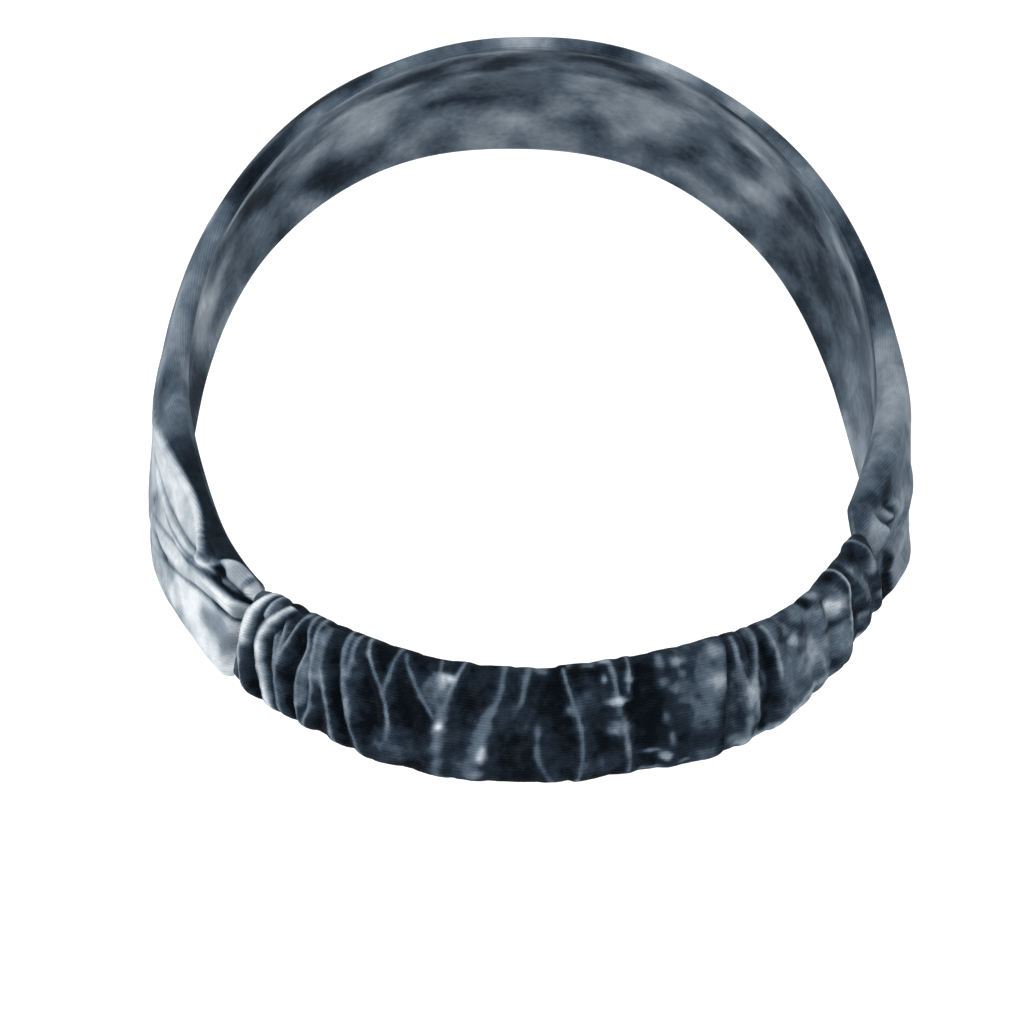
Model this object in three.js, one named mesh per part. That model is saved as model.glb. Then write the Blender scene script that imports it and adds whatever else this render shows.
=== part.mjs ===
// A wide jersey headband in the shape that it has when worn: a smooth wide panel that goes over
// the top, and a gathered elastic casing round the nape that the panel's pleated ends tuck into.
// Millimetres, +Z up, the nape towards -Y. The origin is under the panel, at the top of the form
// that the band is stretched over.

import * as THREE from 'three';

// The rounded form inside the loop: a dome, and an upright oval wall below the dome's widest level
const formHalfWidth = 86;
const formHalfDepth = 96;
const domeHeight = 88;
const domeFullness = 2.08;

// How far the middle of the band hangs below the top at the nape
const napeDrop = 148;

// The gathered casing: a flattened tube of jersey with room for its elastic
const casingLength = 175;
const casingTurn = 8.3;
const casingWidth = 27;
const casingThickness = 5.8;
const casingWall = 1.1;
const gatherHeight = 1.9;
const gatherBreadth = 2.6;
const gatherEndFade = 0.25;

// The wide panel: a flattened tube of the same jersey, loose beside the casing and flat in front
const panelWidth = 88;
const panelFlatness = 3.0;
const panelLoft = 8.2;
const panelWall = 1.0;
const pleatHeight = 2.8;

// How the panel's ends sit in the casing's mouths
const tuckLength = 8;
const seatClearance = 0.3;
const flareLength = 5;
const gatherClearOfSeat = 10;

// How much of a fold shows on the side that lies against the form, and on the inside of the wall
const innerSideShare = 0.25;
const wallFollow = 0.8;

// How finely the pieces are meshed
const casingSteps = 96;
const casingFaceSteps = 4;
const panelSteps = 44;
const panelFaceSteps = 12;
const mouthCrowding = 0.6;
const tuckSteps = 3;
const edgeSteps = 3;
const routeSamples = 200;
const tangentStep = 0.004;

// The band's middle line on one side, from the nape to the top. at is the share of the half loop,
// side of the form's half width, fore of its half depth and drop of the nape's drop.
const route = [
  { at: 0.0, side: 0.0, fore: -1.0, drop: 1.0 },
  { at: 0.19, side: 0.605, fore: -0.81, drop: 0.935 },
  { at: 0.34, side: 0.872, fore: -0.47, drop: 0.815 },
  { at: 0.49, side: 0.988, fore: -0.083, drop: 0.655 },
  { at: 0.61, side: 0.965, fore: 0.125, drop: 0.456 },
  { at: 0.75, side: 0.767, fore: 0.26, drop: 0.235 },
  { at: 0.875, side: 0.407, fore: 0.344, drop: 0.1 },
  { at: 1.0, side: 0.0, fore: 0.396, drop: 0.047 },
];

// The panel's breadth, from the right mouth of the casing over the top to the left one. at is the
// share of the half loop, so 1 is the top and 2 would be the nape again. width and shift, towards
// the rear edge, are shares of the panel's width. loft is how far its two layers stand apart, as a
// share of the step from its flat thickness to its loft.
const panelSections = [
  { at: 0.3, width: 0.309, shift: 0.052, loft: 0.6 },
  { at: 0.34, width: 0.345, shift: 0.057, loft: 0.7 },
  { at: 0.38, width: 0.417, shift: 0.051, loft: 0.8 },
  { at: 0.46, width: 0.568, shift: 0.018, loft: 0.9 },
  { at: 0.6, width: 0.73, shift: 0.0, loft: 0.3 },
  { at: 0.75, width: 0.9, shift: 0.0, loft: 0.04 },
  { at: 0.88, width: 0.98, shift: 0.0, loft: 0.0 },
  { at: 1.12, width: 0.98, shift: 0.0, loft: 0.0 },
  { at: 1.25, width: 0.9, shift: 0.0, loft: 0.04 },
  { at: 1.4, width: 0.73, shift: 0.0, loft: 0.3 },
  { at: 1.54, width: 0.55, shift: 0.0, loft: 0.9 },
  { at: 1.6, width: 0.44, shift: -0.006, loft: 0.85 },
  { at: 1.63, width: 0.38, shift: -0.014, loft: 0.8 },
  { at: 1.655, width: 0.335, shift: -0.022, loft: 0.75 },
  { at: 1.68, width: 0.31, shift: -0.028, loft: 0.7 },
  { at: 1.71, width: 0.3, shift: -0.037, loft: 0.6 },
  { at: 1.75, width: 0.295, shift: -0.045, loft: 0.5 },
];

// The casing's breadth, from its left end to its right end. at is the share of half its length from
// its middle. width and shift, towards its upper edge, are shares of the casing's width.
const casingSections = [
  { at: -1.0, width: 0.9, shift: -0.12 },
  { at: -0.9, width: 0.93, shift: -0.08 },
  { at: -0.75, width: 0.933, shift: -0.059 },
  { at: -0.45, width: 0.985, shift: -0.089 },
  { at: -0.15, width: 0.978, shift: -0.052 },
  { at: 0.05, width: 0.978, shift: -0.011 },
  { at: 0.27, width: 1.0, shift: -0.03 },
  { at: 0.5, width: 0.905, shift: -0.026 },
  { at: 0.68, width: 0.8, shift: 0.015 },
  { at: 0.85, width: 0.77, shift: 0.05 },
  { at: 1.0, width: 0.83, shift: 0.05 },
];

// The casing's gathers, from the left end to the right end as seen from behind. Each is a ridge
// from its high end to its low end: high and low are heights from -1, the lower edge, to 1, the
// upper edge. atHigh and atLow are shares of half the casing's length from its middle, bow bends
// the ridge, rise is a share of the gather height and breadth of the gather breadth.
const gathers = [
  { high: 1, atHigh: -0.909, low: -1, atLow: -0.909, bow: -0.065, rise: 1.0, breadth: 1.0 },
  { high: 1, atHigh: -0.823, low: -1, atLow: -0.813, bow: -0.07, rise: 0.95, breadth: 0.9 },
  { high: 1, atHigh: -0.764, low: -1, atLow: -0.706, bow: -0.01, rise: 0.8, breadth: 0.8 },
  { high: 1, atHigh: -0.695, low: -0.3, atLow: -0.706, bow: 0.0, rise: 0.6, breadth: 0.7 },
  { high: -0.3, atHigh: -0.706, low: -1, atLow: -0.631, bow: 0.0, rise: 0.6, breadth: 0.7 },
  { high: 1, atHigh: -0.642, low: -1, atLow: -0.556, bow: -0.01, rise: 0.85, breadth: 0.9 },
  { high: 1, atHigh: -0.599, low: -1, atLow: -0.481, bow: 0.03, rise: 0.85, breadth: 0.9 },
  { high: 1, atHigh: -0.476, low: 0.2, atLow: -0.513, bow: 0.0, rise: 0.7, breadth: 0.8 },
  { high: 1, atHigh: -0.513, low: -1, atLow: -0.342, bow: 0.03, rise: 0.9, breadth: 1.0 },
  { high: 1, atHigh: -0.321, low: -0.2, atLow: -0.369, bow: 0.0, rise: 0.75, breadth: 1.0 },
  { high: 1, atHigh: -0.22, low: -1, atLow: -0.268, bow: 0.0, rise: 0.6, breadth: 1.3 },
  { high: 1, atHigh: -0.155, low: -0.2, atLow: -0.209, bow: 0.0, rise: 0.5, breadth: 1.0 },
  { high: 1, atHigh: -0.065, low: -1, atLow: -0.033, bow: 0.0, rise: 0.9, breadth: 0.9 },
  { high: 1, atHigh: 0.053, low: -1, atLow: 0.055, bow: 0.015, rise: 0.7, breadth: 0.9 },
  { high: 1, atHigh: 0.117, low: -1, atLow: 0.09, bow: 0.0, rise: 0.6, breadth: 0.8 },
  { high: 1, atHigh: 0.213, low: -1, atLow: 0.16, bow: 0.0, rise: 0.75, breadth: 1.2 },
  { high: 1, atHigh: 0.309, low: -1, atLow: 0.288, bow: 0.04, rise: 0.8, breadth: 1.1 },
  { high: 1, atHigh: 0.438, low: -1, atLow: 0.416, bow: -0.03, rise: 0.9, breadth: 0.8 },
  { high: 1, atHigh: 0.491, low: -1, atLow: 0.47, bow: 0.04, rise: 0.9, breadth: 0.8 },
  { high: 1, atHigh: 0.635, low: -1, atLow: 0.598, bow: 0.02, rise: 0.8, breadth: 1.3 },
  { high: 1, atHigh: 0.78, low: -1, atLow: 0.715, bow: 0.07, rise: 1.0, breadth: 1.1 },
  { high: 1, atHigh: 0.86, low: -1, atLow: 0.9, bow: 0.04, rise: 0.9, breadth: 0.9 },
  { high: 1, atHigh: 0.945, low: 0.1, atLow: 0.955, bow: 0.0, rise: 0.7, breadth: 0.7 },
];

// The long pleats that run out of the casing's mouths along the panel. end is -1 at the left mouth
// and 1 at the right one. root and tip are places across the band, from -1 at its front edge to
// 1 at its rear edge. reach is a share of half the loop, rise of the pleat height and breadth of
// half the band's width.
const pleats = [
  { end: -1, root: 0.45, tip: 0.35, reach: 0.24, rise: 1.0, breadth: 0.16 },
  { end: -1, root: 0.0, tip: -0.3, reach: 0.18, rise: 0.8, breadth: 0.13 },
  { end: -1, root: -0.3, tip: -0.85, reach: 0.2, rise: 0.9, breadth: 0.14 },
  { end: -1, root: -0.7, tip: -0.9, reach: 0.14, rise: 0.6, breadth: 0.16 },
  { end: -1, root: -0.1, tip: 0.0, reach: 0.52, rise: 0.8, breadth: 0.75 },
  { end: 1, root: 0.5, tip: 0.65, reach: 0.2, rise: 0.8, breadth: 0.14 },
  { end: 1, root: 0.1, tip: 0.3, reach: 0.26, rise: 0.9, breadth: 0.14 },
  { end: 1, root: -0.3, tip: -0.45, reach: 0.24, rise: 0.7, breadth: 0.13 },
  { end: 1, root: -0.7, tip: -0.8, reach: 0.3, rise: 1.0, breadth: 0.18 },
];

const casingColour = 0x1a2430;
const panelColour = 0x8f9ba6;
const jerseyRoughness = 0.95;

// A number that goes smoothly from 0 to 1 as x does
function ease(x) {
  const t = Math.min(Math.max(x, 0), 1);
  return t * t * (3 - 2 * t);
}

function mix(a, b, share) {
  return a + (b - a) * share;
}

// A table for one side carried on round the whole loop, past the nape and past the top. The
// columns in flips change sign on the other side.
function roundTheLoop(rows, flips) {
  const other = rows.map((row) => {
    const copy = { ...row };
    for (const column of flips) {
      copy[column] = -row[column];
    }
    return copy;
  });
  const shifted = [
    ...other.slice(1).map((row) => ({ ...row, at: -row.at })),
    ...rows,
    ...other.slice(0, -1).map((row) => ({ ...row, at: 2 - row.at })),
  ];
  return shifted.sort((a, b) => a.at - b.at);
}

// One column of a table at a place on the loop, on a smooth curve through the rows
function along(table, column, at) {
  let i = 0;
  while (i < table.length - 2 && table[i + 1].at < at) {
    i += 1;
  }
  const slope = (j) => {
    const before = table[Math.max(j - 1, 0)];
    const after = table[Math.min(j + 1, table.length - 1)];
    return (after[column] - before[column]) / (after.at - before.at);
  };
  const span = table[i + 1].at - table[i].at;
  const t = (at - table[i].at) / span;
  const start = (2 * t ** 3 - 3 * t ** 2 + 1) * table[i][column];
  const leave = (t ** 3 - 2 * t ** 2 + t) * slope(i) * span;
  const finish = (3 * t ** 2 - 2 * t ** 3) * table[i + 1][column];
  const arrive = (t ** 3 - t ** 2) * slope(i + 1) * span;
  return start + leave + finish + arrive;
}

const routeTable = roundTheLoop(route, ['side']);

// The point of the form nearest a point beside it, and the way out of the form there
function settle(point) {
  const x = point.x / formHalfWidth;
  const y = point.y / formHalfDepth;
  const z = Math.max(point.z + domeHeight, 0) / domeHeight;
  const total = Math.abs(x) ** domeFullness + Math.abs(y) ** domeFullness + z ** domeFullness;
  const shrink = total ** (-1 / domeFullness);
  const low = point.z < -domeHeight;
  const place = new THREE.Vector3(
    point.x * shrink,
    point.y * shrink,
    low ? point.z : (point.z + domeHeight) * shrink - domeHeight,
  );
  const steepness = (share, half) =>
    (Math.sign(share) * Math.abs(share * shrink) ** (domeFullness - 1)) / half;
  const outward = new THREE.Vector3(
    steepness(x, formHalfWidth),
    steepness(y, formHalfDepth),
    steepness(z, domeHeight),
  );
  return { place, outward: outward.normalize() };
}

function middleOfBand(at) {
  return settle(
    new THREE.Vector3(
      along(routeTable, 'side', at) * formHalfWidth,
      along(routeTable, 'fore', at) * formHalfDepth,
      -along(routeTable, 'drop', at) * napeDrop,
    ),
  );
}

// The place a distance across the band from its middle line, lifted off the form
function onBand(at, across, lift) {
  const middle = middleOfBand(at);
  const forward = middleOfBand(at + tangentStep).place.sub(middleOfBand(at - tangentStep).place);
  const upBand = new THREE.Vector3().crossVectors(middle.outward, forward).normalize();
  const spot = settle(middle.place.clone().addScaledVector(upBand, across));
  return spot.place.addScaledVector(spot.outward, lift);
}

// Half the length of the band's middle line, which turns millimetres into shares of the half loop
function measureHalfLoop() {
  let length = 0;
  for (let i = 0; i < routeSamples; i += 1) {
    const here = middleOfBand(i / routeSamples).place;
    length += here.distanceTo(middleOfBand((i + 1) / routeSamples).place);
  }
  return length;
}

const halfLoop = measureHalfLoop();
const casingMiddle = casingTurn / halfLoop;
const casingHalf = casingLength / 2 / halfLoop;
const tuck = tuckLength / halfLoop;
const flare = flareLength / halfLoop;
const clearOfSeat = gatherClearOfSeat / halfLoop;

// How far round from the casing's middle a place is, in shares of the half loop: below 0 on the
// left, above 0 on the right
function roundFromCasing(at) {
  return ((at - casingMiddle + 3) % 2) - 1;
}

// How far a place is out of the nearer mouth of the casing, in shares of the half loop
function outOfMouth(at) {
  return Math.abs(roundFromCasing(at)) - casingHalf;
}

// A ridge's height at a distance from its crest
function ridge(distance, breadth) {
  return Math.exp(-((distance / breadth) ** 2));
}

// Height of the casing's gathers at a place along it and at a height from -1 to 1
function gatherRelief(at, height) {
  const share = (at - casingMiddle) / casingHalf;
  let relief = 0;
  for (const fold of gathers) {
    const down = (fold.high - height) / (fold.high - fold.low);
    const inside = Math.min(Math.max(down, 0), 1);
    const overrun = Math.abs(down - inside) * (fold.high - fold.low);
    const crest = mix(fold.atHigh, fold.atLow, inside) + fold.bow * 4 * inside * (1 - inside);
    const distance = (share - crest) * (casingLength / 2);
    const fade = 1 - ease(overrun / gatherEndFade);
    relief = Math.max(relief, fold.rise * fade * ridge(distance, fold.breadth * gatherBreadth));
  }
  return relief * gatherHeight;
}

// Height of the panel's pleats at a place along it and across it from -1 to 1
function pleatRelief(at, across) {
  const out = outOfMouth(at);
  const end = Math.sign(roundFromCasing(at));
  let relief = 0;
  for (const fold of pleats) {
    const share = out / fold.reach;
    if (fold.end === end && share > 0 && share < 1) {
      const crest = mix(fold.root, fold.tip, share);
      const fade = ease(out / flare) * (1 - ease(share));
      relief += fold.rise * fade * ridge(across - crest, fold.breadth);
    }
  }
  return relief * pleatHeight;
}

// The outline of a flattened tube, as places across the band and off the form, each with its
// own way out: the outer face, the rear edge, the inner face and the front edge.
function flatOutline(width, thickness, faceSteps) {
  const radius = thickness / 2;
  const reach = width / 2 - radius;
  const outline = [];
  const addFace = (side) => {
    for (let i = 0; i < faceSteps; i += 1) {
      const across = mix(-reach, reach, i / faceSteps) * side;
      outline.push({ across, lift: radius + radius * side, outAcross: 0, outLift: side });
    }
  };
  const addEdge = (side) => {
    for (let i = 0; i < edgeSteps; i += 1) {
      const turn = (Math.PI * i) / edgeSteps;
      const outAcross = Math.sin(turn) * side;
      const outLift = Math.cos(turn) * side;
      outline.push({
        across: reach * side + radius * outAcross,
        lift: radius + radius * outLift,
        outAcross,
        outLift,
      });
    }
  };
  addFace(1);
  addEdge(1);
  addFace(-1);
  addEdge(-1);
  return outline;
}

// One ring of a skin. depth is how far it lies inside the outline, follow how much of the relief
// it takes up.
function skinRing(at, section, relief, depth, follow) {
  return flatOutline(section.width, section.thickness, section.faceSteps).map((spot) => {
    const acrossShare = spot.across / (section.width / 2);
    const sideShare = mix(innerSideShare, 1, (spot.outLift + 1) / 2);
    const grow = relief(at, acrossShare) * sideShare * follow - depth;
    const across = section.shift + spot.across + spot.outAcross * grow;
    const lift = section.lift + spot.lift + spot.outLift * grow;
    return onBand(at, across, lift);
  });
}

// A closed solid from an outer and an inner skin of equal rings, joined by a rim at each end
function openTube(outerRings, innerRings) {
  const positions = [];
  const indices = [];
  const around = outerRings[0].length;
  const addSkin = (rings) => {
    const first = positions.length / 3;
    for (const ring of rings) {
      for (const point of ring) {
        positions.push(point.x, point.y, point.z);
      }
    }
    return (i, k) => first + i * around + (k % around);
  };
  const addQuad = (a, b, c, d) => {
    indices.push(a, b, c, a, c, d);
  };
  const outer = addSkin(outerRings);
  const inner = addSkin(innerRings);
  const last = outerRings.length - 1;
  for (let k = 0; k < around; k += 1) {
    for (let i = 0; i < last; i += 1) {
      addQuad(outer(i, k), outer(i + 1, k), outer(i + 1, k + 1), outer(i, k + 1));
      addQuad(inner(i, k), inner(i, k + 1), inner(i + 1, k + 1), inner(i + 1, k));
    }
    addQuad(outer(0, k), outer(0, k + 1), inner(0, k + 1), inner(0, k));
    addQuad(outer(last, k + 1), outer(last, k), inner(last, k), inner(last, k + 1));
  }
  const geometry = new THREE.BufferGeometry();
  geometry.setAttribute('position', new THREE.Float32BufferAttribute(positions, 3));
  geometry.setIndex(indices);
  geometry.computeVertexNormals();
  return geometry;
}

function jersey(color) {
  return new THREE.MeshStandardMaterial({ color, roughness: jerseyRoughness, metalness: 0 });
}

// The casing's section. Past its mouths it is what the mouth is.
function casingSection(at) {
  const share = Math.min(Math.max((at - casingMiddle) / casingHalf, -1), 1);
  return {
    width: along(casingSections, 'width', share) * casingWidth,
    shift: along(casingSections, 'shift', share) * casingWidth,
    thickness: casingThickness,
    faceSteps: casingFaceSteps,
    lift: 0,
  };
}

// The gathered casing round the nape, open at its two mouths
function elasticCasing() {
  const outerRings = [];
  const innerRings = [];
  for (let i = 0; i <= casingSteps; i += 1) {
    const at = mix(casingMiddle - casingHalf, casingMiddle + casingHalf, i / casingSteps);
    const section = casingSection(at);
    const pastTuck = ease((-outOfMouth(at) - clearOfSeat) / clearOfSeat);
    outerRings.push(skinRing(at, section, gatherRelief, 0, 1));
    innerRings.push(skinRing(at, section, gatherRelief, casingWall, wallFollow * pastTuck));
  }
  const mesh = new THREE.Mesh(openTube(outerRings, innerRings), jersey(casingColour));
  mesh.name = 'elastic_casing';
  return mesh;
}

// The panel's section: it fits the casing's mouth at its ends, and flares out of it
function panelSection(at) {
  const seat = casingWall + seatClearance;
  const free = ease(outOfMouth(at) / flare);
  const mouth = casingSection(casingMiddle + roundFromCasing(at));
  const loft = along(panelSections, 'loft', at);
  return {
    width: mix(mouth.width - 2 * seat, along(panelSections, 'width', at) * panelWidth, free),
    shift: mix(mouth.shift, along(panelSections, 'shift', at) * panelWidth, free),
    thickness: mix(casingThickness - 2 * seat, mix(panelFlatness, panelLoft, loft), free),
    faceSteps: panelFaceSteps,
    lift: mix(seat, 0, free),
  };
}

// The wide panel over the top, a flattened tube with its two ends open inside the casing
function widePanel() {
  const mouth = casingMiddle + casingHalf;
  const farMouth = 2 + casingMiddle - casingHalf;
  const places = [];
  for (let i = 0; i < tuckSteps; i += 1) {
    places.push(mix(mouth - tuck, mouth, i / tuckSteps));
  }
  for (let i = 0; i <= panelSteps; i += 1) {
    const turn = (2 * Math.PI * i) / panelSteps;
    places.push(mix(mouth, farMouth, (turn - mouthCrowding * Math.sin(turn)) / (2 * Math.PI)));
  }
  for (let i = 1; i <= tuckSteps; i += 1) {
    places.push(mix(farMouth, farMouth + tuck, i / tuckSteps));
  }
  const outerRings = [];
  const innerRings = [];
  for (const at of places) {
    const section = panelSection(at);
    outerRings.push(skinRing(at, section, pleatRelief, 0, 1));
    innerRings.push(skinRing(at, section, pleatRelief, panelWall, wallFollow));
  }
  const mesh = new THREE.Mesh(openTube(outerRings, innerRings), jersey(panelColour));
  mesh.name = 'wide_panel';
  return mesh;
}

const headband = new THREE.Group();
headband.add(widePanel(), elasticCasing());

export default headband;
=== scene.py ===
import math
from collections import namedtuple

import bmesh
import bpy
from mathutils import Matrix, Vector, noise


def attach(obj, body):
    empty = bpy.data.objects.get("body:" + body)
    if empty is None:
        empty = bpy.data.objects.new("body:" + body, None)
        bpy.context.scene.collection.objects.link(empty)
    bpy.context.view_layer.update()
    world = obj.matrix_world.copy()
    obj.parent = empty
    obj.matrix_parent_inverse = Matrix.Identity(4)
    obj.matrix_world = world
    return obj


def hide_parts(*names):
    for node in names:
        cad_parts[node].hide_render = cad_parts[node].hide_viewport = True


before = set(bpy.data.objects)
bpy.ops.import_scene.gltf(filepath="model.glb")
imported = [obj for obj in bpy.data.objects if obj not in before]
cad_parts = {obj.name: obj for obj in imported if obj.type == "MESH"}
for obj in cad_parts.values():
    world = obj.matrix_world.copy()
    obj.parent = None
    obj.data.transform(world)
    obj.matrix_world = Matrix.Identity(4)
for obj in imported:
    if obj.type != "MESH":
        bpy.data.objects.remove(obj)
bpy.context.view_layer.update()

# The view
# From behind at about the height of the band, a little from the left and from above. The eye stays
# where the band's outline matches, and the lens looks at the point that the frame is centred on.

VIEW_PIXELS = 1024
METRES_PER_PIXEL = 0.000241
VIEW_DISTANCE = 0.9
VIEW_AZIMUTH = math.radians(-4)
VIEW_ELEVATION = math.radians(6)
AIM = Vector((0, -0.029, -0.080))
AIM_RIGHT_OF_MIDDLE = 24.7 * METRES_PER_PIXEL
AIM_ABOVE_MIDDLE = 125.9 * METRES_PER_PIXEL

towards_eye = Vector((
    math.sin(VIEW_AZIMUTH) * math.cos(VIEW_ELEVATION),
    -math.cos(VIEW_AZIMUTH) * math.cos(VIEW_ELEVATION),
    math.sin(VIEW_ELEVATION),
))
level_right = Vector((0, 0, 1)).cross(towards_eye).normalized()
view_up = towards_eye.cross(level_right)
eye = AIM + towards_eye * VIEW_DISTANCE
middle_of_view = AIM - level_right * AIM_RIGHT_OF_MIDDLE - view_up * AIM_ABOVE_MIDDLE

SENSOR_WIDTH = 36
camera = bpy.data.objects.new("camera", bpy.data.cameras.new("camera"))
camera.data.sensor_width = SENSOR_WIDTH
camera.data.lens = SENSOR_WIDTH * VIEW_DISTANCE / METRES_PER_PIXEL / VIEW_PIXELS
camera.location = eye
camera.rotation_mode = "QUATERNION"
camera.rotation_quaternion = (middle_of_view - eye).to_track_quat("-Z", "Y")
bpy.context.scene.collection.objects.link(camera)
bpy.context.scene.camera = camera

# The wide panel
# A flattened tube of soft tie-dyed jersey, sewn along its inner side. It lies flat over the top and
# in front, and its two ends are pleated into the casing's mouths, where its folds fan out.

FORM_HALF_WIDTH = 0.086
FORM_HALF_DEPTH = 0.096
DOME_HEIGHT = 0.088
DOME_FULLNESS = 2.08
BACK_DROP = 0.148
CASING_LENGTH = 0.175
CASING_TURN = 0.0083
CASING_WIDTH = 0.027
CASING_THICKNESS = 0.0058
SEAT = 0.0014
TUCK_LENGTH = 0.008
PANEL_WIDTH = 0.088
PANEL_FLATNESS = 0.0030
PANEL_LOFT = 0.0082
CLOTH_THICKNESS = 0.0009
MILLIMETRE = 0.001

# The band's middle line on one side, from the back, at 0, to the top, at 1, in shares of the half
# loop. side, fore and drop are shares of the form's half width, half depth and BACK_DROP.
Place = namedtuple("Place", "at side fore drop")
ROUTE = [
    Place(0.0, 0.0, -1.0, 1.0),
    Place(0.19, 0.605, -0.81, 0.935),
    Place(0.34, 0.872, -0.47, 0.815),
    Place(0.49, 0.988, -0.083, 0.655),
    Place(0.61, 0.965, 0.125, 0.456),
    Place(0.75, 0.767, 0.26, 0.235),
    Place(0.875, 0.407, 0.344, 0.1),
    Place(1.0, 0.0, 0.396, 0.047),
]

# Breadths along the panel, from the right mouth over the top, at 1, to the left mouth, and along
# the casing, from its left end at -1 to its right end at 1. width and shift, towards the rear edge,
# are shares of the full width.
Breadth = namedtuple("Breadth", "at width shift loft")
PANEL_BREADTHS = [
    Breadth(0.3, 0.309, 0.052, 0.6),
    Breadth(0.34, 0.345, 0.057, 0.7),
    Breadth(0.38, 0.417, 0.051, 0.8),
    Breadth(0.46, 0.568, 0.018, 0.9),
    Breadth(0.6, 0.73, 0.0, 0.3),
    Breadth(0.75, 0.9, 0.0, 0.04),
    Breadth(0.88, 0.98, 0.0, 0.0),
    Breadth(1.12, 0.98, 0.0, 0.0),
    Breadth(1.25, 0.9, 0.0, 0.04),
    Breadth(1.4, 0.73, 0.0, 0.3),
    Breadth(1.54, 0.55, 0.0, 0.9),
    Breadth(1.6, 0.44, -0.006, 0.85),
    Breadth(1.63, 0.38, -0.014, 0.8),
    Breadth(1.655, 0.335, -0.022, 0.75),
    Breadth(1.68, 0.31, -0.028, 0.7),
    Breadth(1.71, 0.3, -0.037, 0.6),
    Breadth(1.75, 0.295, -0.045, 0.5),
]
CASING_BREADTHS = [
    Breadth(-1.0, 0.9, -0.12, 0),
    Breadth(-0.9, 0.93, -0.08, 0),
    Breadth(-0.75, 0.933, -0.059, 0),
    Breadth(-0.45, 0.985, -0.089, 0),
    Breadth(-0.15, 0.978, -0.052, 0),
    Breadth(0.05, 0.978, -0.011, 0),
    Breadth(0.27, 1.0, -0.03, 0),
    Breadth(0.5, 0.905, -0.026, 0),
    Breadth(0.68, 0.8, 0.015, 0),
    Breadth(0.85, 0.77, 0.05, 0),
    Breadth(1.0, 0.83, 0.05, 0),
]


def ease(x):
    t = min(max(x, 0.0), 1.0)
    return t * t * (3 - 2 * t)


def mix(a, b, share):
    return a + (b - a) * share


def round_the_loop(rows, turned=()):
    """A table for one side, carried on round the loop past the back and past the top."""
    other = [row._replace(**{name: -getattr(row, name) for name in turned}) for row in rows]
    before = [row._replace(at=-row.at) for row in other[1:]]
    after = [row._replace(at=2 - row.at) for row in other[:-1]]
    return sorted(before + rows + after, key=lambda row: row.at)


def along(table, column, at):
    """One column of a table at a place, on a smooth curve through its rows."""
    i = 0
    while i < len(table) - 2 and table[i + 1].at < at:
        i += 1

    def slope(j):
        before, after = table[max(j - 1, 0)], table[min(j + 1, len(table) - 1)]
        return (getattr(after, column) - getattr(before, column)) / (after.at - before.at)

    span = table[i + 1].at - table[i].at
    t = (at - table[i].at) / span
    start, finish = getattr(table[i], column), getattr(table[i + 1], column)
    return (
        (2 * t**3 - 3 * t**2 + 1) * start
        + (t**3 - 2 * t**2 + t) * slope(i) * span
        + (3 * t**2 - 2 * t**3) * finish
        + (t**3 - t**2) * slope(i + 1) * span
    )


route_table = round_the_loop(ROUTE, ("side",))


def settle(point):
    """The place on the stretched band's form beside a point, and the way out of the form there."""
    x, y = point.x / FORM_HALF_WIDTH, point.y / FORM_HALF_DEPTH
    z = max(point.z + DOME_HEIGHT, 0) / DOME_HEIGHT
    total = abs(x) ** DOME_FULLNESS + abs(y) ** DOME_FULLNESS + z**DOME_FULLNESS
    shrink = total ** (-1 / DOME_FULLNESS)
    low = point.z < -DOME_HEIGHT
    height = point.z if low else (point.z + DOME_HEIGHT) * shrink - DOME_HEIGHT

    def steepness(share, half):
        return math.copysign(abs(share * shrink) ** (DOME_FULLNESS - 1), share) / half

    outward = Vector((
        steepness(x, FORM_HALF_WIDTH), steepness(y, FORM_HALF_DEPTH), steepness(z, DOME_HEIGHT),
    ))
    return Vector((point.x * shrink, point.y * shrink, height)), outward.normalized()


def middle_of_band(at):
    return settle(Vector((
        along(route_table, "side", at) * FORM_HALF_WIDTH,
        along(route_table, "fore", at) * FORM_HALF_DEPTH,
        -along(route_table, "drop", at) * BACK_DROP,
    )))


ROUTE_SAMPLES = 200
STATION_LOOK = 0.004
half_loop = sum(
    (middle_of_band((i + 1) / ROUTE_SAMPLES)[0] - middle_of_band(i / ROUTE_SAMPLES)[0]).length
    for i in range(ROUTE_SAMPLES)
)
casing_middle = CASING_TURN / half_loop
casing_half = CASING_LENGTH / 2 / half_loop
left_mouth, right_mouth = casing_middle - casing_half, casing_middle + casing_half


class Station:
    """One place along the band: where its middle is, and the way across it."""

    def __init__(self, at):
        self.at = at
        self.middle, outward = middle_of_band(at)
        forward = middle_of_band(at + STATION_LOOK)[0] - middle_of_band(at - STATION_LOOK)[0]
        self.up_band = outward.cross(forward).normalized()

    def spot(self, across, lift):
        place, outward = settle(self.middle + self.up_band * across)
        return place + outward * lift


# Shares of a section's steps: half its inner side, one rounded edge, and its outer face
INNER_SHARE = 0.06
EDGE_SHARE = 0.16
OUTER_SHARE = 0.56


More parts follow.
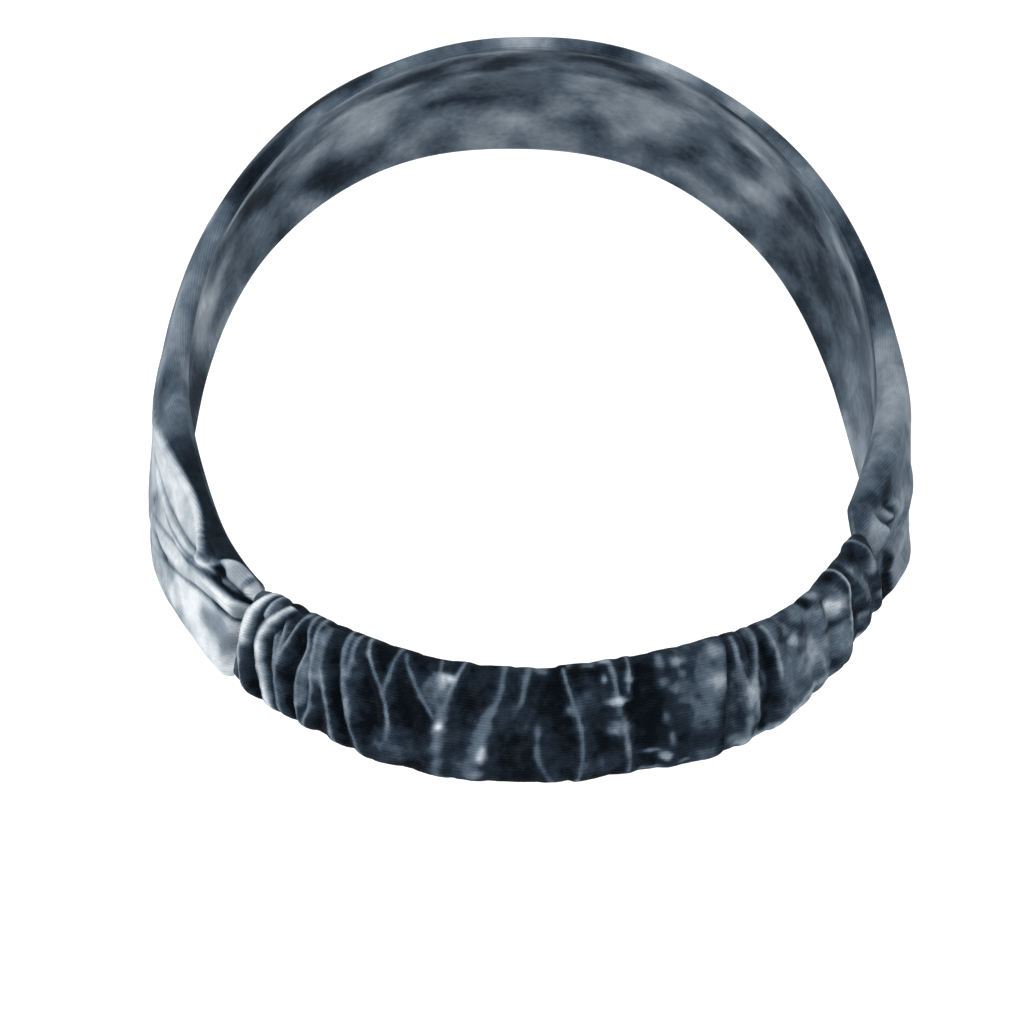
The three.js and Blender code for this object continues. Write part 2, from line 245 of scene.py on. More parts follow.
def flat_outline(width, thickness, crown, share):
    """A place on a flattened tube's section, from the middle of its inner side round its front
    edge, its outer face and its rear edge: across, lift, the way out of the section, and how far
    round the cloth it is from the middle of the outer face."""
    radius = thickness / 2
    reach = width / 2 - radius
    side = -1 if share < 0.5 else 1
    share = min(share, 1 - share)
    if share < INNER_SHARE:
        inwards = reach * share / INNER_SHARE
        return side * inwards, 0.0, 0.0, -1.0, side * (2 * reach + math.pi * radius - inwards)
    if share < INNER_SHARE + EDGE_SHARE:
        turn = math.pi * (share - INNER_SHARE) / EDGE_SHARE
        out_across, out_lift = math.sin(turn), -math.cos(turn)
        return (
            side * (reach + radius * out_across), radius + radius * out_lift,
            side * out_across, out_lift, side * (reach + radius * (math.pi - turn)),
        )
    t = (0.5 - share) / OUTER_SHARE * 2
    return side * reach * t, thickness + crown * (1 - t * t), 0.0, 1.0, side * reach * t


# How much of the folds' height the inner side and the two edges have
INNER_RELIEF = 0.2
EDGE_RELIEF = 0.34
# Where the cloth's own coordinates start, clear of zero
CLOTH_START = (0.1, 0.2)


def sew_tube(name, places, round_steps, section_at, relief_at, dye_and_painted_light_at):
    """A tube of cloth round the loop: a grid whose two long edges meet inside, laid on the
    stations of the band, with its folds, its dye with the folds' painted shade and highlights, and
    its cloth coordinates."""
    steps = len(places) - 1
    bm = bmesh.new()
    cloth = bm.loops.layers.uv.new("cloth")
    bmesh.ops.create_grid(bm, x_segments=steps, y_segments=round_steps, size=0.5, calc_uvs=True)
    dye = bm.verts.layers.float.new("dye")
    stations = [Station(at) for at in places]
    sections = [section_at(at) for at in places]
    for vert in bm.verts:
        i = round((vert.co.x + 0.5) * steps)
        k = round((vert.co.y + 0.5) * round_steps)
        station, (width, shift, thickness, crown, sunk) = stations[i], sections[i]
        across, lift, out_across, out_lift, round_cloth = flat_outline(
            width, thickness, crown, (k % round_steps) / round_steps)
        spot = (station.at, 2 * across / width, 2 * round_cloth / width, out_lift)
        side = mix(INNER_RELIEF, 1, (out_lift + 1) / 2) * mix(1, EDGE_RELIEF, abs(out_across))
        grow = relief_at(*spot) * side
        vert[dye] = dye_and_painted_light_at(*spot)
        vert.co = station.spot(
            shift + across + out_across * grow, sunk + lift + out_lift * grow)
    for face in bm.faces:
        face.smooth = True
        for loop in face.loops:
            u, v = loop[cloth].uv
            i, k = round(u * steps), round(v * round_steps)
            round_cloth = flat_outline(sections[i][0], sections[i][2], 0, k / round_steps)[4]
            loop[cloth].uv = (places[i] * half_loop + CLOTH_START[0], round_cloth + CLOTH_START[1])
    bmesh.ops.remove_doubles(bm, verts=bm.verts, dist=1e-6)
    bmesh.ops.smooth_vert(
        bm, verts=bm.verts, factor=0.5, use_axis_x=True, use_axis_y=True, use_axis_z=True)
    bmesh.ops.recalc_face_normals(bm, faces=bm.faces)
    mesh = bpy.data.meshes.new(name)
    bm.to_mesh(mesh)
    bm.free()
    piece = bpy.data.objects.new(name, mesh)
    bpy.context.scene.collection.objects.link(piece)
    wall = piece.modifiers.new("cloth thickness", "SOLIDIFY")
    wall.thickness = CLOTH_THICKNESS
    wall.offset = -1
    return piece


def flank(distance, left, right):
    """How strongly a mark shows beside its middle line, with its own slope on either side."""
    return math.exp(-((distance / (left if distance < 0 else right)) ** 2))


def roll(distance, left, right):
    """A rolled fold's height beside its crest: round on top, creased where it meets the next."""
    reach = distance / (left if distance < 0 else right)
    return max(1 - reach * reach, 0.0) ** 0.8


# The panel's pleats, by how far out of the casing's mouth they are, in millimetres. path gives the
# crest's place there, round the cloth from the middle of the outer face, in half widths towards
# the rear edge. front and rear are millimetres, and pale is how much paler the crest is made,
# partly its dye and partly a painted highlight.
PLEAT_STOPS = (0, 10, 18, 26, 36, 50, 62)
PLEAT_FULLNESS = 1.6
Pleat = namedtuple("Pleat", "end path reach rise front rear pale")
PLEATS = [
    Pleat(-1, (0.62, 0.59, 0.50, 0.39, 0.35, 0.37, 0.2), 75, 1.3, 1.5, 1.1, 0.10),
    Pleat(-1, (0.60, 0.52, 0.41, 0.27, 0.22, 0.26, 0.1), 60, 0.8, 0.8, 0.9, 0.02),
    Pleat(-1, (0.50, 0.40, 0.25, 0.09, -0.10, -0.29, -0.5), 72, 1.3, 1.6, 1.6, 0.10),
    Pleat(-1, (0.05, -0.05, -0.16, -0.34, -0.50, -0.72, -0.9), 56, 0.7, 3.0, 1.6, 0.04),
    Pleat(-1, (-0.62, -0.66, -0.72, -0.80, -0.90, -1.0, -1.1), 50, 0.9, 3.4, 3.4, 0.0),
    Pleat(1, (0.30, 0.26, 0.16, -0.06, -0.2, -0.2, -0.2), 30, 1.4, 1.4, 2.0, 0.12),
    Pleat(1, (1.00, 0.92, 0.84, 0.74, 0.66, 0.60, 0.5), 40, 1.2, 1.4, 1.6, 0.0),
    Pleat(1, (-0.20, -0.24, -0.15, 0.00, -0.08, -0.2, -0.3), 60, 1.8, 2.4, 2.2, 0.12),
    Pleat(1, (-0.72, -0.70, -0.74, -0.80, -0.85, -0.9, -0.9), 60, 1.3, 3.0, 2.4, 0.0),
]

# The left end's flap: its rolled edge lies over the rear of the panel. at is out of the mouth, in
# millimetres, and across is in half widths.
Edge = namedtuple("Edge", "at across")
FLAP_EDGE = [
    Edge(-2, 1.1), Edge(3, 1.12), Edge(8, 1.13), Edge(10.5, 1.06), Edge(12.8, 0.91),
    Edge(14.8, 0.77), Edge(16.5, 0.68), Edge(19, 0.64), Edge(21, 0.70), Edge(22.5, 0.80),
    Edge(24.2, 0.91), Edge(26.5, 0.98), Edge(30, 1.00), Edge(34, 0.99), Edge(41, 0.92),
    Edge(51, 0.80), Edge(62, 0.60), Edge(87, 0.20), Edge(122, -0.2), Edge(162, -0.4),
]
FLAP_REACH = 115
FLAP_HEIGHT = 2.4
FLAP_RAISE = 0.25
FLAP_FALL = 2.2
FLAP_FALL_START = 0.35

# The flap's raised lip and the hollow in front of it: how far behind the edge each one is, its
# half breadths to the front and rear, and its height, all in millimetres
Ridge = namedtuple("Ridge", "behind front rear height")
FLAP_RIDGES = [Ridge(-0.9, 1.2, 1.0, 0.8), Ridge(-2.8, 1.2, 1.0, -0.4)]

# Short creases and curled tucks: the end they are at, how far out of its mouth and how far round
# the cloth they are, the half length along each of them and its half breadth in millimetres, its
# turn in degrees, and its height
Dent = namedtuple("Dent", "end out round long wide turn height")
PANEL_DENTS = [
    Dent(-1, 50.0, 0.0, 4.0, 0.7, 62, -0.9),
    Dent(-1, 54.0, -0.55, 3.4, 0.7, 62, -0.8),
    Dent(-1, 38.5, -0.27, 4.6, 1.0, -12, -1.0),
    Dent(-1, 12.0, 0.76, 2.6, 1.5, -30, -1.3),
    Dent(-1, 2.6, 0.88, 1.2, 1.0, 0, 0.8),
    Dent(1, 3.6, 0.52, 4.4, 1.2, 58, 1.2),
    Dent(1, 5.9, 0.46, 3.8, 1.1, 52, -1.1),
    Dent(1, 8.4, 0.46, 4.2, 1.2, 46, 1.1),
    Dent(1, 10.8, 0.44, 3.8, 1.1, 46, -1.0),
    Dent(1, 13.4, 0.44, 4.2, 1.3, 50, 0.8),
    Dent(1, 3.0, -0.50, 7.0, 1.4, 90, -1.6),
]

# Soft unevenness of the cloth: how high it stands, in millimetres, how often it comes along and
# across the band, and where in the noise it is taken. The puckers come from the elastic's pull.
Swell = namedtuple("Swell", "rise along across seed")
PANEL_SWELLS = [Swell(0.6, 9, 2.2, 4.1)]
PANEL_PUCKERS = [Swell(0.5, 16, 6, 1.7), Swell(0.4, 36, 15, 7.7)]
PUCKER_REACH = 45

# The panel opens out of a mouth over FLARE, and its folds rise over MOUTH_HOLD
FLARE = 2.5 * MILLIMETRE
MOUTH_HOLD = 3
OUTER_CROWN = 0.0004
DENT_SIGHT = 12


def from_casing(at):
    """How far round from the casing's middle a place is, in shares of the half loop."""
    return (at - casing_middle + 3) % 2 - 1


def out_of_mouth(at):
    """How far a place is out of the nearer mouth of the casing, in metres."""
    return (abs(from_casing(at)) - casing_half) * half_loop


def path_at(path, stops, x):
    """A fold's place across its stops, on a smooth curve through them."""
    x = min(max(x, stops[0]), stops[-1])
    i = 0
    while i < len(stops) - 2 and stops[i + 1] < x:
        i += 1

    def slope(j):
        before, after = max(j - 1, 0), min(j + 1, len(stops) - 1)
        return (path[after] - path[before]) / (stops[after] - stops[before])

    span = stops[i + 1] - stops[i]
    t = (x - stops[i]) / span
    return (
        (2 * t**3 - 3 * t**2 + 1) * path[i] + (t**3 - 2 * t**2 + t) * slope(i) * span
        + (3 * t**2 - 2 * t**3) * path[i + 1] + (t**3 - t**2) * slope(i + 1) * span
    )


def casing_breadth(at):
    """The casing's width and its shift across the band. Past its mouths it is what they are."""
    share = min(max(from_casing(at) / casing_half, -1), 1)
    return (
        along(CASING_BREADTHS, "width", share) * CASING_WIDTH,
        along(CASING_BREADTHS, "shift", share) * CASING_WIDTH,
    )


def panel_section(at):
    """The panel's width, its shift, its thickness, its crown and how far it is sunk at a place."""
    out = out_of_mouth(at)
    free = ease(out / FLARE)
    mouth_width, mouth_shift = casing_breadth(at)
    loft = along(PANEL_BREADTHS, "loft", at)
    return (
        mix(mouth_width - 2 * SEAT, along(PANEL_BREADTHS, "width", at) * PANEL_WIDTH, free),
        mix(mouth_shift, along(PANEL_BREADTHS, "shift", at) * PANEL_WIDTH, free),
        mix(CASING_THICKNESS - 2 * SEAT, mix(PANEL_FLATNESS, PANEL_LOFT, loft), free),
        OUTER_CROWN * free,
        mix(SEAT, 0, free),
    )


def behind_flap(at, round_cloth, width):
    """How far behind the flap's edge a place on the cloth is, in millimetres."""
    out = out_of_mouth(at) / MILLIMETRE
    return (round_cloth - along(FLAP_EDGE, "across", out)) * width / 2 / MILLIMETRE


def along_dent(dent, out, round_cloth, width):
    """How strongly a dent shows at a place on the cloth."""
    turn = math.radians(dent.turn)
    x, y = dent.out - out, (round_cloth - dent.round) * width / 2 / MILLIMETRE
    if abs(x) > DENT_SIGHT or abs(y) > DENT_SIGHT:
        return 0.0
    down = x * math.cos(turn) + y * math.sin(turn)
    off = y * math.cos(turn) - x * math.sin(turn)
    return math.exp(-((down / dent.long) ** 4) - (off / dent.wide) ** 2)


def swell_at(swell, along_band, height):
    """How high a swell stands at a place, in millimetres."""
    return swell.rise * noise.noise(
        Vector((along_band * swell.along, height * swell.across, swell.seed)))


def off_pleat(pleat, out, round_cloth, width):
    """How far a place on the cloth is towards the rear of a pleat's crest, in millimetres."""
    return (round_cloth - path_at(pleat.path, PLEAT_STOPS, out)) * width / 2 / MILLIMETRE


def panel_relief(at, height, round_cloth, out_lift):
    """How far the panel's folds stand out of its section at a place."""
    out = out_of_mouth(at) / MILLIMETRE
    end = math.copysign(1, from_casing(at))
    near = ease(out / MOUTH_HOLD)
    width = panel_section(at)[0]
    total = 0.0
    for pleat in PLEATS:
        if pleat.end == end and 0 < out < pleat.reach:
            fade = near * (1 - ease(out / pleat.reach))
            total += pleat.rise * fade * roll(
                off_pleat(pleat, out, round_cloth, width),
                PLEAT_FULLNESS * pleat.front, PLEAT_FULLNESS * pleat.rear)
    if end < 0 and out < FLAP_REACH:
        behind = behind_flap(at, round_cloth, width)
        fade = near * (1 - ease(out / FLAP_REACH))
        total += fade * FLAP_HEIGHT * (FLAP_RAISE - ease(behind / FLAP_FALL + FLAP_FALL_START))
        for ridge in FLAP_RIDGES:
            total += fade * ridge.height * flank(behind - ridge.behind, ridge.front, ridge.rear)
    for dent in PANEL_DENTS:
        if dent.end == end:
            total += dent.height * along_dent(dent, out, round_cloth, width)
    total += sum(swell_at(swell, at, height) for swell in PANEL_SWELLS)
    pull = near * math.exp(-max(out, 0) / PUCKER_REACH)
    total += pull * sum(swell_at(pucker, at, height) for pucker in PANEL_PUCKERS)
    return total * MILLIMETRE


# Where the dye took, from 0 for bleached cloth to 1 for near-black navy. base runs round the loop.
Dip = namedtuple("Dip", "at base")
PANEL_DIPS = [
    Dip(-1.0, 0.5), Dip(-0.8, 0.55), Dip(-0.62, 0.62), Dip(-0.54, 0.50), Dip(-0.49, 0.30),
    Dip(-0.42, 0.20), Dip(-0.3, 0.22), Dip(-0.2, 0.24), Dip(0.3, 0.55), Dip(0.38, 0.5),
    Dip(0.46, 0.42), Dip(0.54, 0.52), Dip(0.62, 0.72), Dip(0.8, 0.55), Dip(1.0, 0.5),
    Dip(1.2, 0.55), Dip(1.38, 0.62),
]

# The dye's blotches beside the mouths, a few of them painted shade: the end they are at, how far
# out of its mouth and how far round the cloth they are, half lengths along and across the band in
# millimetres, and how dark they make the cloth
Blotch = namedtuple("Blotch", "end out round long wide dye")
PANEL_BLOTCHES = [
    Blotch(-1, 38.0, -0.27, 5.0, 1.3, 0.52),
    Blotch(-1, 31.0, -0.30, 4.0, 2.0, 0.42),
    Blotch(-1, 27.5, -0.61, 4.0, 2.2, 0.08),
    Blotch(-1, 23.0, -0.26, 5.0, 2.6, 0.05),
    Blotch(-1, 17.0, -0.12, 4.6, 3.0, 0.02),
    Blotch(-1, 19.0, -0.45, 5.0, 1.8, 0.04),
    Blotch(-1, 12.0, 0.04, 3.0, 2.0, 0.12),
    Blotch(-1, 33.0, -1.00, 5.0, 1.5, 0.55),
    Blotch(-1, 24.0, -0.90, 6.0, 1.5, 0.50),
    Blotch(-1, 17.5, -1.02, 5.0, 1.4, 0.50),
    Blotch(-1, 12.0, -0.56, 3.4, 2.4, 0.06),
    Blotch(-1, 7.0, -0.72, 4.2, 1.9, 0.04),
    Blotch(-1, 1.5, -0.85, 3.6, 1.5, 0.10),
    Blotch(-1, 10.5, -0.18, 3.0, 2.4, 0.46),
    Blotch(-1, 6.0, -0.10, 3.4, 3.4, 0.48),
    Blotch(-1, 2.0, -0.28, 3.0, 3.6, 0.50),
    Blotch(-1, 8.8, 0.24, 2.4, 1.2, 0.42),
    Blotch(-1, 5.5, 0.40, 2.6, 1.8, 0.08),
    Blotch(-1, 1.4, 0.42, 1.6, 2.6, 0.46),
    Blotch(-1, 8.0, 0.62, 2.4, 1.0, 0.18),
    # A dark blotch in the hollow where the flap's edge and the pleats meet: painted shade.
    Blotch(-1, 12.4, 0.74, 2.6, 1.3, 0.86),
    Blotch(-1, 7.0, 0.95, 3.0, 2.4, 0.36),
    Blotch(-1, 3.0, 0.95, 1.0, 2.6, 0.66),
    Blotch(-1, 1.0, 0.88, 0.8, 1.8, 0.12),
    Blotch(-1, 52.0, -0.26, 2.6, 1.2, 0.42),
    Blotch(-1, 45.0, 0.62, 6.0, 3.0, 0.14),
    Blotch(-1, 36.0, 0.70, 7.0, 3.0, 0.10),
    Blotch(-1, 29.0, 0.76, 5.0, 2.4, 0.16),
    Blotch(1, 24.0, 0.62, 4.0, 3.2, 0.60),
    Blotch(1, 30.0, 0.25, 4.0, 2.0, 0.66),
    Blotch(1, 19.0, 1.12, 7.0, 2.2, 0.50),
    Blotch(1, 20.0, 0.22, 6.0, 3.0, 0.38),
    Blotch(1, 17.0, -0.34, 6.0, 3.0, 0.30),
    Blotch(1, 24.0, -0.95, 7.0, 3.0, 0.34),
    Blotch(1, 10.5, 0.74, 4.4, 3.0, 0.92),
    Blotch(1, 5.0, 0.90, 3.0, 2.6, 0.86),
    Blotch(1, 12.5, 0.98, 4.0, 2.0, 0.70),
    Blotch(1, 2.0, 1.10, 3.0, 3.0, 0.74),
    Blotch(1, 9.6, 0.33, 1.6, 0.9, 0.93),
    Blotch(1, 2.0, 0.10, 2.4, 1.6, 0.62),
    # These four dark blotches along the groove at the right mouth are painted shade in the gap
    # between the casing's end and the panel.
    Blotch(1, 3.8, -0.18, 1.7, 2.6, 0.97),
    Blotch(1, 3.3, -0.48, 2.0, 2.6, 1.0),
    Blotch(1, 2.5, -0.78, 2.0, 2.4, 0.98),
    Blotch(1, 1.5, -1.00, 2.0, 2.4, 0.95),
    Blotch(1, 40.0, 0.50, 8.0, 8.0, 0.36),
    Blotch(1, 52.0, -0.20, 7.0, 8.0, 0.60),
]


# No blotch lies farther out than BLOTCHES_REACH, in millimetres, and a mark ends where the square
# of its reach, in half lengths, is past MARK_END
BLOTCHES_REACH = 70
MARK_END = 6

# How the dye clouds: millimetres between its swirls, how far they carry it, the millimetres of its
# broad and small clouds and of its coarse and fine grain, and how strong the fine grain is
Mottle = namedtuple("Mottle", "swirls carry broad small coarse fine strength")
PANEL_MOTTLE = Mottle(14, 0.35, 22, 9, 4, 1.8, 0.5)

# The swirls come from a noise whose start is random unless it is seeded
SWIRL_SEED = 4
noise.seed_set(SWIRL_SEED)


def mottled(place, mottle):
    """The dye's clouds and its finer grain at a place on the cloth, both about -1 to 1."""
    place = place / MILLIMETRE
    swirl = noise.noise_vector(place / mottle.swirls) * mottle.carry
    cloud = noise.noise(place / mottle.broad + swirl) + 0.5 * noise.noise(
        place / mottle.small + swirl)
    grain = noise.noise(place / mottle.coarse + swirl) + mottle.strength * noise.noise(
        place / mottle.fine)
    return cloud, grain


def marked(dye, x, y, target, cloud):
    """How dark the cloth is at a place x and y half lengths from the middle of a mark, whose edge
    wanders.
    """
    reach = x * x + y * y
    if reach > MARK_END:
        return dye
    return mix(dye, target + 0.05 * cloud, math.exp(-(max(reach + 0.5 * cloud, 0.0) ** 1.3)))


def between(x, start, finish):
    """From 0 at the start to 1 at the finish, smoothly."""
    return ease((x - start) / (finish - start))


# Colour on the folds: the dark line in a pleat's crease is painted shade, the tucks' pale crests
# and dark hollows are painted highlight and painted shade, the flap's pale lip is a painted
# highlight, and the strip behind the flap is dark near the mouth
CREASE_PAINTED_SHADE = 0.50
TUCK_PAINTED_HIGHLIGHT = 0.24
HOLLOW_PAINTED_SHADE = 0.36
LIP_PAINTED_HIGHLIGHT = 0.7
STRIP_NEAR, STRIP_FAR = 0.92, 0.50
INSIDE_DYE = 0.55


def panel_dye_and_painted_light(at, height, round_cloth, out_lift):
    """The dye at a place on the panel, with painted shade in its creases and hollows and painted
    highlights on its pleats, tucks and the flap's lip, from 0 for bleached to 1 for the darkest.
    """
    here = from_casing(at) + casing_middle
    out = out_of_mouth(at) / MILLIMETRE
    width = panel_section(at)[0]
    cloud, grain = mottled(Vector((at * half_loop, round_cloth * width / 2, 0.003)), PANEL_MOTTLE)
    dye = along(PANEL_DIPS, "base", here) + cloud * mix(0.20, 0.62, between(out, 60, 120))
    dye += 0.06 * grain
    end = -1 if here < casing_middle else 1
    for blotch in PANEL_BLOTCHES:
        if blotch.end == end and out < BLOTCHES_REACH:
            x = (out - blotch.out) / blotch.long
            y = (round_cloth - blotch.round) * width / 2 / MILLIMETRE / blotch.wide
            dye = marked(dye, x, y, blotch.dye, grain)
    if end < 0 and out < 150:
        # The pleats' crests are made paler, partly the dye and partly a painted highlight, and the
        # crease behind each pale pleat is darkened as painted shade.
        for pleat in PLEATS:
            if pleat.end < 0 and out < pleat.reach:
                off = off_pleat(pleat, out, round_cloth, width)
                fade = 1 - ease(out / pleat.reach)
                dye -= pleat.pale * fade * flank(off, pleat.front, pleat.rear)
                if pleat.pale > 0:
                    dye += CREASE_PAINTED_SHADE * fade * flank(off - 1.8 * pleat.rear, 0.6, 0.5)
        behind = behind_flap(at, round_cloth, width)
        strip = ease((behind + 0.5 + 0.1 * grain) / 1.4) * ease(out / MOUTH_HOLD)
        strip_dye = mix(STRIP_NEAR, STRIP_FAR, between(out, 38, 60))
        strip_dye += mix(0.05, 0.34, between(out, 44, 74)) * cloud
        dye = mix(dye, strip_dye, strip * (1 - between(out, 110, 150)))
        # The flap's rolled lip is made paler: a painted highlight.
        lip_painted_highlight = flank(behind + 1.1, 0.9, 0.6) * between(out, 11, 14) * (1 - between(out, 30, 50))
        dye = mix(dye, 0.0, LIP_PAINTED_HIGHLIGHT * lip_painted_highlight)
    # Raised tucks are made paler and sunken creases darker: painted highlight and painted shade.
    for dent in PANEL_DENTS:
        if dent.end == end:
            tuck_painted_light = -TUCK_PAINTED_HIGHLIGHT if dent.height > 0 else HOLLOW_PAINTED_SHADE
            dye += tuck_painted_light * along_dent(dent, out, round_cloth, width)
    if out_lift < -0.5:
        dye = mix(dye, INSIDE_DYE + 0.4 * cloud, 0.6)
    return min(max(dye, 0.0), 1.0)


class Wire:
    """A value in a material's node tree. Sums on it are written as Python."""

    def __init__(self, tree, socket=None):
        self.tree, self.socket = tree, socket

    def make(self, kind, settings=None, values=None, output=0):
        node = self.tree.nodes.new(kind)
        for name, setting in (settings or {}).items():
            if name == "stops":
                ramp = node.color_ramp.elements
                while len(ramp) < len(setting):
                    ramp.new(1.0)
                for stop, (position, colour) in zip(ramp, setting):
                    stop.position, stop.color = position, (*colour, 1.0)
            else:
                setattr(node, name, setting)
        for name, value in (values or {}).items():
            if isinstance(value, Wire):
                self.tree.links.new(value.socket, node.inputs[name])
            else:
                node.inputs[name].default_value = value
        return Wire(self.tree, node.outputs[output] if node.outputs else None)

    def sums(self, operation, first, second):
        return self.make("ShaderNodeMath", {"operation": operation}, {0: first, 1: second})

    def __add__(self, other):
        return self.sums("ADD", self, other)

    def __radd__(self, other):
        return self.sums("ADD", other, self)

    def __sub__(self, other):
        return self.sums("SUBTRACT", self, other)

    def __rsub__(self, other):
        return self.sums("SUBTRACT", other, self)

    def __mul__(self, other):
        return self.sums("MULTIPLY", self, other)

    def __rmul__(self, other):
        return self.sums("MULTIPLY", other, self)

    def __truediv__(self, other):
        return self.sums("DIVIDE", self, other)


# The knit's ribs and rows of stitches, and the colours from bleached to darkest
WALE_PITCH = 0.00068
COURSE_PITCH = 0.0006
KNIT_HEIGHT = 0.00026
BLEACHED = (0.66, 0.69, 0.71)
SILVER = (0.27, 0.31, 0.345)
SLATE = (0.088, 0.118, 0.150)
NAVY = (0.0165, 0.027, 0.041)
INK = (0.0012, 0.0030, 0.0052)


def tie_dyed_jersey(name, seed):
    """Knitted cotton jersey, tie-dyed from bleached off-white through blue-grey to navy, whose
    colour also carries the folds' painted shade and highlights.
    """
    material = bpy.data.materials.new(name)
    material.use_nodes = True
    tree = material.node_tree
    tree.nodes.clear()
    start = Wire(tree)
    place = start.make("ShaderNodeTexCoord", output="Object")
    placed = start.make("ShaderNodeMapping", values={"Vector": place, "Location": (seed, 0, seed)})
    # The attribute holds the dye together with the folds' painted shade and painted highlights.
    dye_and_painted_light_attribute = start.make("ShaderNodeAttribute", {"attribute_name": "dye"}, output="Fac")
    cloud = start.make("ShaderNodeTexNoise", values={
        "Vector": placed, "Scale": 120, "Detail": 3, "Distortion": 0.8})
    speck = start.make(
        "ShaderNodeTexNoise", values={"Vector": placed, "Scale": 520, "Detail": 2})
    cloth = start.make("ShaderNodeUVMap", {"uv_map": "cloth"})
    along_cloth = start.make("ShaderNodeSeparateXYZ", values={"Vector": cloth}, output="X")
    across_cloth = Wire(tree, along_cloth.socket.node.outputs["Y"])
    ribs = across_cloth / WALE_PITCH
    wale = ribs.sums("PINGPONG", ribs, 0.5) * 2
    # The colour is a little paler on the knit's ribs and darker between them: painted highlight and
    # painted shade.
    uneven = dye_and_painted_light_attribute + (cloud - 0.5) * 0.26 + (speck - 0.5) * 0.18 + (0.5 - wale) * 0.05
    colour = start.make("ShaderNodeValToRGB", {"stops": [
        (0.0, BLEACHED), (0.28, SILVER), (0.55, SLATE), (0.78, NAVY), (1.0, INK),
    ]}, {"Fac": uneven})
    course = along_cloth / COURSE_PITCH + wale * 0.5
    stitch = start.make("ShaderNodeMath", {"operation": "SINE"}, {0: course * (2 * math.pi)})
    loops = wale * 0.7 + stitch * 0.15
    fuzz = start.make("ShaderNodeTexNoise", values={"Vector": place, "Scale": 1900, "Detail": 2})
    relief = loops + fuzz * 0.5
    bump = start.make("ShaderNodeBump", values={
        "Height": relief, "Strength": 0.9, "Distance": KNIT_HEIGHT})
    cloth_shader = start.make("ShaderNodeBsdfPrincipled", values={
        "Base Color": colour, "Normal": bump, "Roughness": 0.92, "Sheen Weight": 0.02,
        "Sheen Roughness": 0.45, "Specular IOR Level": 0.05})
    start.make("ShaderNodeOutputMaterial", values={"Surface": cloth_shader})
    return material


PANEL_STEPS = 270
PANEL_ROUND_STEPS = 180
MOUTH_CROWDING = 0.7
far_mouth = 2 + left_mouth
tuck = TUCK_LENGTH / half_loop

panel_places = []
for i in range(PANEL_STEPS + 1):
    turn = 2 * math.pi * i / PANEL_STEPS
    share = (turn - MOUTH_CROWDING * math.sin(turn)) / (2 * math.pi)
    panel_places.append(mix(right_mouth - tuck, far_mouth + tuck, share))

panel = sew_tube(
    "panel_cloth", panel_places, PANEL_ROUND_STEPS, panel_section, panel_relief, panel_dye_and_painted_light)
panel.data.materials.append(tie_dyed_jersey("panel jersey", 0.0))
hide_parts("wide_panel")
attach(panel, "root")

# The elastic casing
# A narrower tube of the same jersey, low at the back, drawn up by the flat elastic inside it, so it
# stands in gathers all along. The panel's pleated ends are sewn into its two open mouths.

